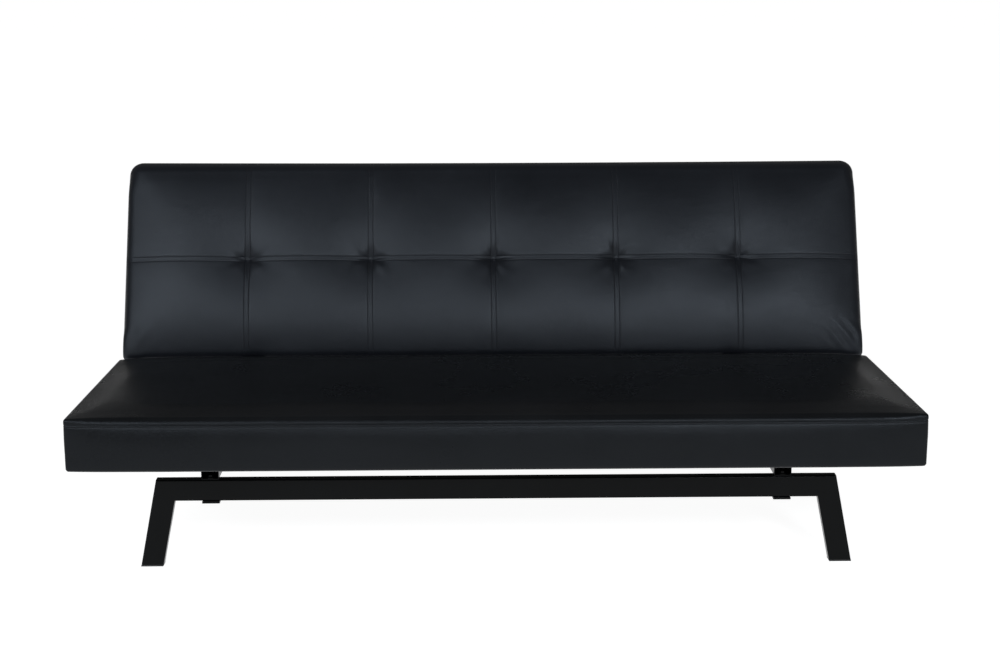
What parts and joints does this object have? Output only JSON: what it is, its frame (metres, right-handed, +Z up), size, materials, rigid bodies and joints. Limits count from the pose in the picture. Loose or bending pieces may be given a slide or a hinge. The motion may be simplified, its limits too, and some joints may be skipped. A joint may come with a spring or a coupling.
{
  "type": "sofa bed",
  "caption": "Click clack sofa bed with a tufted back and a plain seat in black leather-look covers, folding flat on a splayed rectangular-tube steel frame",
  "frame": {"origin": "on the floor under the middle of the sofa's overall box", "axes": "+X to the right hand of someone who looks at the front, +Y to the rear, +Z up"},
  "size_m": [1.896, 0.9012, 0.8296],
  "materials": {
    "frame_steel": "satin",
    "zinc_steel": "satin",
    "black_plastic": "matte",
    "black_rubber": "matte",
    "back_leather": "satin",
    "seat_leather": "satin",
    "foam": "matte",
    "pine": "matte",
    "board": "matte",
    "black_cloth": "matte"
  },
  "bodies": {
    "frame": {"front_rail": "frame_steel", "rear_rail": "frame_steel", "front_leg_left": "frame_steel", "front_leg_right": "frame_steel", "rear_leg_left": "frame_steel", "rear_leg_right": "frame_steel", "bearer_left": "frame_steel", "bearer_right": "frame_steel", "hinge_bracket_left": "frame_steel", "hinge_bracket_right": "frame_steel", "clamp_plate_front_left": "frame_steel", "clamp_plate_front_right": "frame_steel", "clamp_plate_rear_left": "frame_steel", "clamp_plate_rear_right": "frame_steel", "clamp_bolt_front_left": "frame_steel", "clamp_bolt_front_right": "frame_steel", "clamp_bolt_rear_left": "frame_steel", "clamp_bolt_rear_right": "frame_steel", "pivot_bolt_left": "zinc_steel", "pivot_bolt_right": "zinc_steel", "pivot_nut_left": "zinc_steel", "pivot_nut_right": "zinc_steel", "pawl_spring_left": "zinc_steel", "pawl_spring_right": "zinc_steel", "foot_glide_front_left": "black_plastic", "foot_glide_front_right": "black_plastic", "foot_glide_rear_left": "black_plastic", "foot_glide_rear_right": "black_plastic", "bearer_cap_left": "black_plastic", "bearer_cap_right": "black_plastic", "seat_bumper_left": "black_rubber", "seat_bumper_right": "black_rubber"},
    "seat": {"seat_cover": "seat_leather", "seat_foam": "foam", "seat_deck": "board", "seat_front_rail": "pine", "seat_rear_rail": "pine", "seat_end_rail_left": "pine", "seat_end_rail_right": "pine", "seat_stretcher_left": "pine", "seat_stretcher_right": "pine", "seat_dust_cover": "black_cloth", "seat_arm_left": "frame_steel", "seat_arm_right": "frame_steel", "seat_arm_bolt_left": "zinc_steel", "seat_arm_bolt_right": "zinc_steel"},
    "back": {"back_cover": "back_leather", "back_foam": "foam", "back_board": "board", "back_top_rail": "pine", "back_bottom_rail": "pine", "back_end_rail_left": "pine", "back_end_rail_right": "pine", "back_lining": "black_cloth", "back_arm_left": "frame_steel", "back_arm_right": "frame_steel", "back_arm_bolt_left": "zinc_steel", "back_arm_bolt_right": "zinc_steel"},
    "pawl_left": {"ratchet_pawl_left": "zinc_steel"},
    "pawl_right": {"ratchet_pawl_right": "zinc_steel"}
  },
  "joints": [
    {"name": "seat_lift", "type": "hinge", "parent": "frame", "child": "seat", "pos_m": [0, 0.14262, 0.34854], "axis": [-1, 0, 0], "range_deg": [0, 25]},
    {"name": "back_recline", "type": "hinge", "parent": "frame", "child": "back", "pos_m": [0, 0.14262, 0.34854], "axis": [-1, 0, 0], "range_deg": [0, 67.5]},
    {"name": "pawl_left_hinge", "type": "hinge", "parent": "frame", "child": "pawl_left", "pos_m": [-0.6222, 0.12861, 0.31754], "axis": [-1, 0, 0], "range_deg": [0, 6], "stiffness_Nm_per_rad": 0.2, "springref_deg": -5.73},
    {"name": "pawl_right_hinge", "type": "hinge", "parent": "frame", "child": "pawl_right", "pos_m": [0.6222, 0.12861, 0.31754], "axis": [-1, 0, 0], "range_deg": [0, 6], "stiffness_Nm_per_rad": 0.2, "springref_deg": -5.73}
  ]
}
